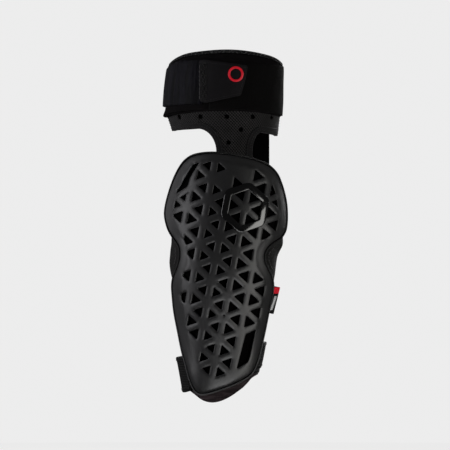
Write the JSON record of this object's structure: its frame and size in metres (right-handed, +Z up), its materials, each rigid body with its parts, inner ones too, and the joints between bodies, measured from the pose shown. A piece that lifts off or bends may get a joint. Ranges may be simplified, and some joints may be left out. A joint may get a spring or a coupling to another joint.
{
  "type": "elbow guard",
  "caption": "Slip-on elbow guard: a lattice shell on a foam pad, a stretch sleeve, a perforated yoke and a padded cuff closed by a hook-and-loop strap.",
  "frame": {"origin": "centre of the arm at the elbow", "axes": "+Z up the arm towards the shoulder, -Y out through the point of the elbow, +X to the right as seen from the front"},
  "size_m": [0.1237, 0.1343, 0.3502],
  "materials": {
    "shell": "satin charcoal",
    "gloss": "polished black",
    "foam": "closed cell foam under cloth",
    "knit": "fine stretch knit",
    "mesh": "perforated net cloth",
    "tape": "sewn binding tape",
    "elastic": "woven elastic",
    "loops": "brushed loop pile",
    "tab": "smooth faced tab",
    "lip": "brown black stretch cloth"
  },
  "bodies": {
    "root": {"lattice_shell": "shell", "gloss_inlay": "gloss", "foam_pad": "foam", "pad_piping": "tape", "sleeve": "knit", "yoke": "mesh", "yoke_binding_left": "tape", "yoke_binding_right": "tape", "back_panel": "knit", "cuff_band": "knit", "cuff_binding": "tape", "elastic_strap": "elastic", "loop_panel": "loops", "hook_tab": "tab", "wrist_lip": "lip", "forearm_strap": "elastic", "side_label": "tab"}
  },
  "joints": []
}
